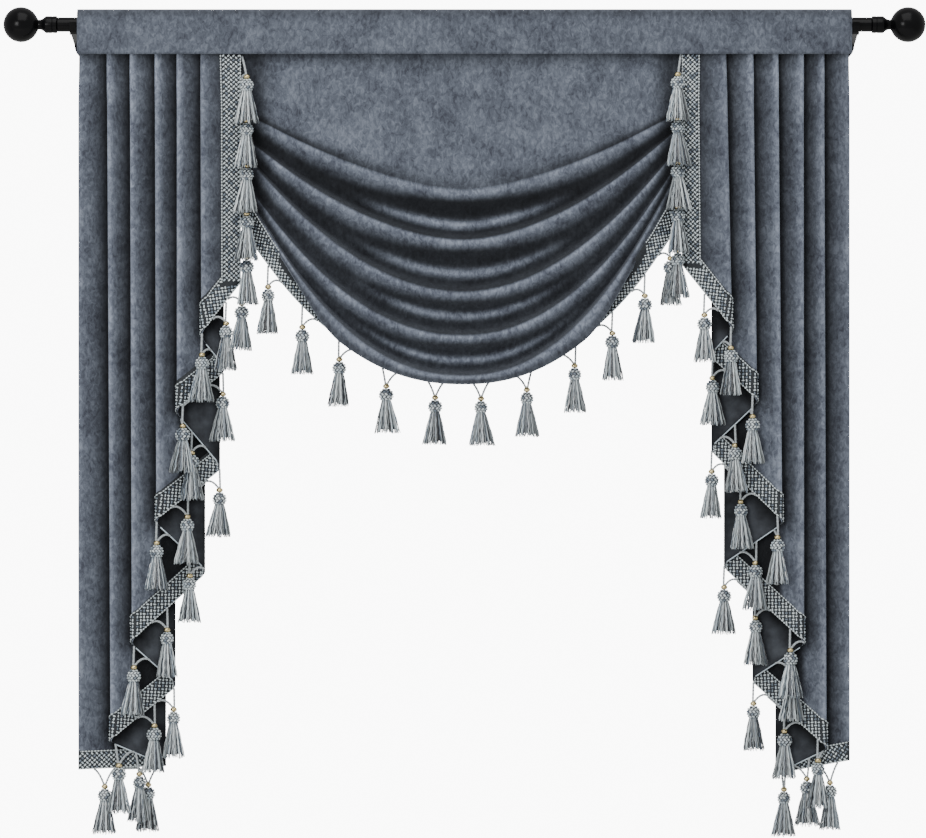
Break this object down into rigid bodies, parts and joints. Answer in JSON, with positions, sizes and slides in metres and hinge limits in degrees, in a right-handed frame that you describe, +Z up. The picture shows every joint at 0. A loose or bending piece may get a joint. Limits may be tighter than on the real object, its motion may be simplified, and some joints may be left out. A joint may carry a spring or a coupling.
{
  "type": "waterfall valance with its rod, finials and brackets",
  "caption": "Window valance of a draped swag between two pleated cascades, edged with braid and tassels, on a black rod held by two wall brackets.",
  "frame": {"origin": "on the wall plane, midway between the two brackets, at the height of the rod's axis", "axes": "+X to the right as seen from the room, +Y into the wall, +Z up; the cloth's right side faces -Y"},
  "size_m": [1.1916, 0.1247, 1.0737],
  "materials": {
    "velvet": "crushed slate-blue pile",
    "braid": "woven silver-blue lattice",
    "yarn": "mixed silver-blue yarns",
    "black_metal": "satin black"
  },
  "bodies": {
    "root": {"bracket_left": "black_metal", "bracket_right": "black_metal", "braid_left": "braid", "braid_right": "braid", "braid_swag": "braid", "finial_left": "black_metal", "finial_right": "black_metal", "header": "velvet", "panel_left": "velvet", "panel_right": "velvet", "rod": "black_metal", "swag": "velvet", "tassel_left_05": "yarn", "tassel_left_06": "yarn", "tassel_left_07": "yarn", "tassel_left_08": "yarn", "tassel_left_11": "yarn", "tassel_left_14": "yarn", "tassel_left_15": "yarn", "tassel_left_16": "yarn", "tassel_left_17": "yarn", "tassel_left_18": "yarn", "tassel_left_19": "yarn", "tassel_left_20": "yarn", "tassel_left_21": "yarn", "tassel_right_05": "yarn", "tassel_right_06": "yarn", "tassel_right_07": "yarn", "tassel_right_08": "yarn", "tassel_right_09": "yarn", "tassel_right_10": "yarn", "tassel_right_13": "yarn", "tassel_right_14": "yarn", "tassel_right_17": "yarn", "tassel_right_18": "yarn", "tassel_right_21": "yarn", "tassel_right_22": "yarn", "tassel_right_23": "yarn", "tassel_right_24": "yarn", "tassel_swag_01": "yarn", "tassel_swag_02": "yarn", "tassel_swag_03": "yarn", "tassel_swag_04": "yarn", "tassel_swag_05": "yarn", "tassel_swag_06": "yarn", "tassel_swag_07": "yarn", "tassel_swag_08": "yarn", "tassel_swag_09": "yarn", "tassel_swag_10": "yarn", "tassel_swag_11": "yarn", "tassels_left_01_02": "yarn", "tassels_left_03_04": "yarn", "tassels_left_09_10": "yarn", "tassels_left_12_13": "yarn", "tassels_left_22_23": "yarn", "tassels_right_01_02": "yarn", "tassels_right_03_04": "yarn", "tassels_right_11_12": "yarn", "tassels_right_15_16": "yarn", "tassels_right_19_20": "yarn"}
  },
  "joints": []
}
